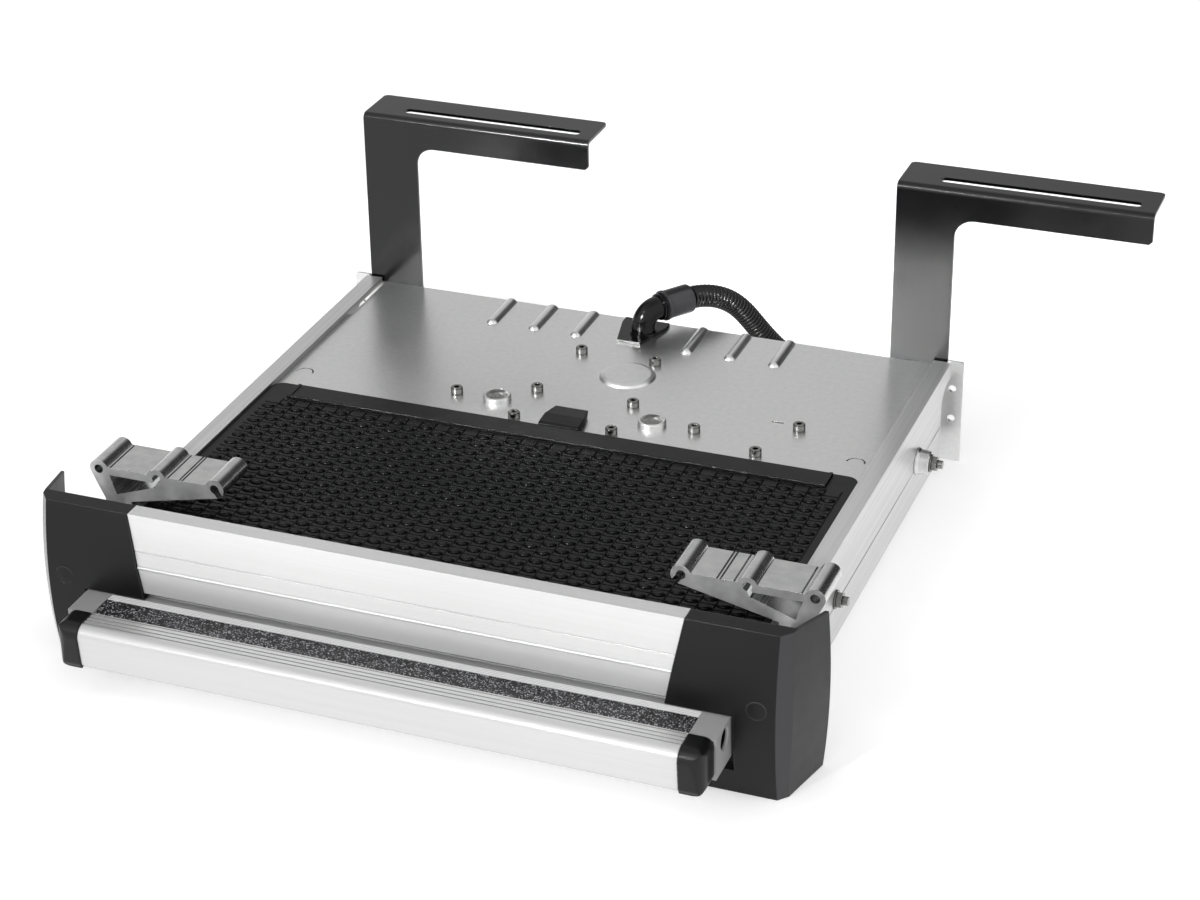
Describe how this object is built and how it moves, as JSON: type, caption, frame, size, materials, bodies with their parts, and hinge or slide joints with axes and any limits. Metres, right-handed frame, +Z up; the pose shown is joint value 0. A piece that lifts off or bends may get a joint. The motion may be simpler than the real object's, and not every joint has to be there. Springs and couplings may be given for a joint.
{
  "type": "caravan pull-out step",
  "caption": "Powered pull-out entry step for a caravan: flat cassette with brackets, mat and fascia; the tread slides out on side arms.",
  "frame": {"origin": "underside of the rear panel's foot flange, in the middle of the cassette, on the ground", "axes": "+X to the right seen from the front, +Y to the rear, into the vehicle, +Z up; the tread slides out towards -Y"},
  "size_m": [0.8434, 0.802, 0.2837],
  "materials": {
    "galvanised_sheet": "zinc-coated sheet, satin with a faint spangle",
    "anodised_aluminium": "satin natural anodised extrusion",
    "mill_aluminium": "bare mill-finish extrusion with fine drawing lines",
    "moulded_black_plastic": "fine-grained black moulding",
    "gloss_black_plastic": "smooth black moulding, semi-gloss",
    "black_rubber": "embossed black rubber",
    "grit": "coarse black anti-slip grit",
    "black_powder_coat": "satin black powder coat",
    "grey_powder_coat": "satin grey powder coat",
    "zinc_plated_steel": "bright zinc-plated fasteners",
    "sintered_steel": "oiled sintered steel",
    "nylon": "natural nylon",
    "motor_steel": "dark passivated steel",
    "conduit_plastic": "ribbed black conduit"
  },
  "bodies": {
    "cassette": {"top_plate": "galvanised_sheet", "left_rail": "galvanised_sheet", "right_rail": "galvanised_sheet", "rear_panel": "galvanised_sheet", "front_cross_member": "galvanised_sheet", "left_guide_channel": "galvanised_sheet", "right_guide_channel": "galvanised_sheet", "motor_bracket": "galvanised_sheet", "front_fascia": "anodised_aluminium", "left_sill_adapter": "mill_aluminium", "right_sill_adapter": "mill_aluminium", "left_bearing_flange": "mill_aluminium", "right_bearing_flange": "mill_aluminium", "spacer_bosses": "mill_aluminium", "motor_standoffs": "mill_aluminium", "left_end_cap": "moulded_black_plastic", "right_end_cap": "moulded_black_plastic", "end_cap_plugs": "moulded_black_plastic", "control_unit": "moulded_black_plastic", "conduit_sleeve": "moulded_black_plastic", "harness_connector": "moulded_black_plastic", "cable_gland": "gloss_black_plastic", "deck_mat": "black_rubber", "mat_edge_strip": "black_rubber", "mat_lift_tab": "black_rubber", "left_mounting_bracket": "black_powder_coat", "right_mounting_bracket": "black_powder_coat", "bracket_bolts": "zinc_plated_steel", "bracket_nuts": "zinc_plated_steel", "adapter_screws": "zinc_plated_steel", "deck_screws": "zinc_plated_steel", "guide_bolts": "zinc_plated_steel", "guide_nuts": "zinc_plated_steel", "motor_gearbox": "motor_steel", "motor_can": "motor_steel", "conduit": "conduit_plastic"},
    "step": {"nose_profile": "anodised_aluminium", "grit_strip": "grit", "left_nose_cap": "gloss_black_plastic", "right_nose_cap": "gloss_black_plastic", "left_side_arm": "grey_powder_coat", "right_side_arm": "grey_powder_coat", "nose_screws": "zinc_plated_steel", "tread_plank": "anodised_aluminium", "carriage_plate": "galvanised_sheet", "left_rack": "nylon", "right_rack": "nylon", "rack_screws": "zinc_plated_steel", "roller_axles": "zinc_plated_steel"},
    "left_front_wheel": {"left_front_roller": "nylon"},
    "left_rear_wheel": {"left_rear_roller": "nylon"},
    "right_front_wheel": {"right_front_roller": "nylon"},
    "right_rear_wheel": {"right_rear_roller": "nylon"},
    "left_drive": {"left_drive_gear": "nylon", "left_drive_shaft": "zinc_plated_steel"},
    "right_drive": {"right_drive_gear": "nylon", "right_drive_shaft": "zinc_plated_steel"},
    "motor_drive": {"motor_pinion": "sintered_steel", "motor_shaft": "zinc_plated_steel"}
  },
  "joints": [
    {"name": "step_slide", "type": "slide", "parent": "cassette", "child": "step", "axis": [0, -1, 0], "range_m": [0, 0.18]},
    {"name": "left_gear_turn", "type": "hinge", "parent": "cassette", "child": "left_drive", "pos_m": [-0.078, -0.206, 0.085], "axis": [0, 0, 1], "range_deg": [0, 516]},
    {"name": "right_gear_turn", "type": "hinge", "parent": "cassette", "child": "right_drive", "pos_m": [0.078, -0.206, 0.085], "axis": [0, 0, 1], "range_deg": [-516, 0]},
    {"name": "motor_pinion_turn", "type": "hinge", "parent": "cassette", "child": "motor_drive", "pos_m": [0.022, -0.11955, 0.085], "axis": [0, 0, 1], "range_deg": [0, 1609]},
    {"name": "left_front_roller_turn", "type": "hinge", "parent": "step", "child": "left_front_wheel", "pos_m": [-0.29715, -0.327, 0.0577], "axis": [1, 0, 0], "range_deg": [0, 794]},
    {"name": "left_rear_roller_turn", "type": "hinge", "parent": "step", "child": "left_rear_wheel", "pos_m": [-0.29715, -0.127, 0.0577], "axis": [1, 0, 0], "range_deg": [0, 794]},
    {"name": "right_front_roller_turn", "type": "hinge", "parent": "step", "child": "right_front_wheel", "pos_m": [0.29715, -0.327, 0.0577], "axis": [1, 0, 0], "range_deg": [0, 794]},
    {"name": "right_rear_roller_turn", "type": "hinge", "parent": "step", "child": "right_rear_wheel", "pos_m": [0.29715, -0.127, 0.0577], "axis": [1, 0, 0], "range_deg": [0, 794]}
  ],
  "couplings": [
    {"joint": "left_gear_turn", "follows": "step_slide", "rad_per_m": 50},
    {"joint": "right_gear_turn", "follows": "step_slide", "rad_per_m": -50},
    {"joint": "motor_pinion_turn", "follows": "step_slide", "rad_per_m": 156},
    {"joint": "left_front_roller_turn", "follows": "step_slide", "rad_per_m": 76.923},
    {"joint": "left_rear_roller_turn", "follows": "step_slide", "rad_per_m": 76.923},
    {"joint": "right_front_roller_turn", "follows": "step_slide", "rad_per_m": 76.923},
    {"joint": "right_rear_roller_turn", "follows": "step_slide", "rad_per_m": 76.923}
  ]
}
